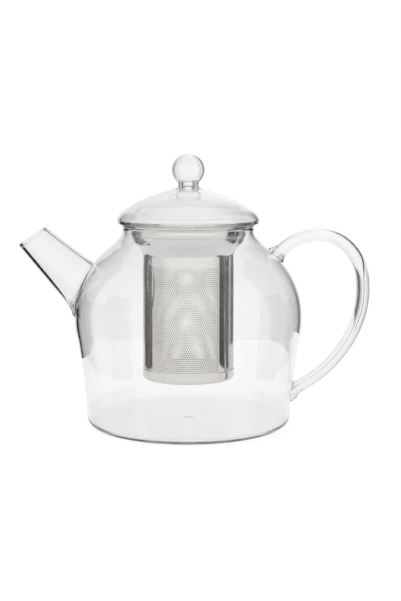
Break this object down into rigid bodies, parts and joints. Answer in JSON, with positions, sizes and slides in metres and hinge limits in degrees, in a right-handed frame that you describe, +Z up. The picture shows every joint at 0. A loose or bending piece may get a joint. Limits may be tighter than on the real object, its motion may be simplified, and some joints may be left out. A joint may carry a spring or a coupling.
{
  "type": "teapot",
  "caption": "Blown glass teapot with angled spout, bent rod handle, lift-out perforated steel infuser and domed lid with ball knob",
  "frame": {"origin": "centre of the pot's flat underside, on the axis of the body and the lid", "axes": "+Z up, +X towards the handle, spout towards -X, the handle and the spout lie in the XZ plane"},
  "size_m": [0.2112, 0.137, 0.1634],
  "materials": {
    "glass": "clear polished borosilicate",
    "steel": "satin stainless sheet"
  },
  "bodies": {
    "pot": {"vessel": "glass", "spout": "glass", "handle": "glass"},
    "infuser": {"infuser_collar": "steel", "infuser_sleeve": "steel", "infuser_base": "steel"},
    "lid": {"lid_dome": "glass", "lid_locating_ring": "glass", "lid_neck": "glass", "lid_knob": "glass"}
  },
  "joints": [
    {"name": "infuser_lift", "type": "slide", "parent": "pot", "child": "infuser", "axis": [0, 0, 1], "range_m": [0, 0.1]},
    {"name": "lid_lift", "type": "slide", "parent": "infuser", "child": "lid", "axis": [0, 0, 1], "range_m": [0, 0.04]}
  ]
}
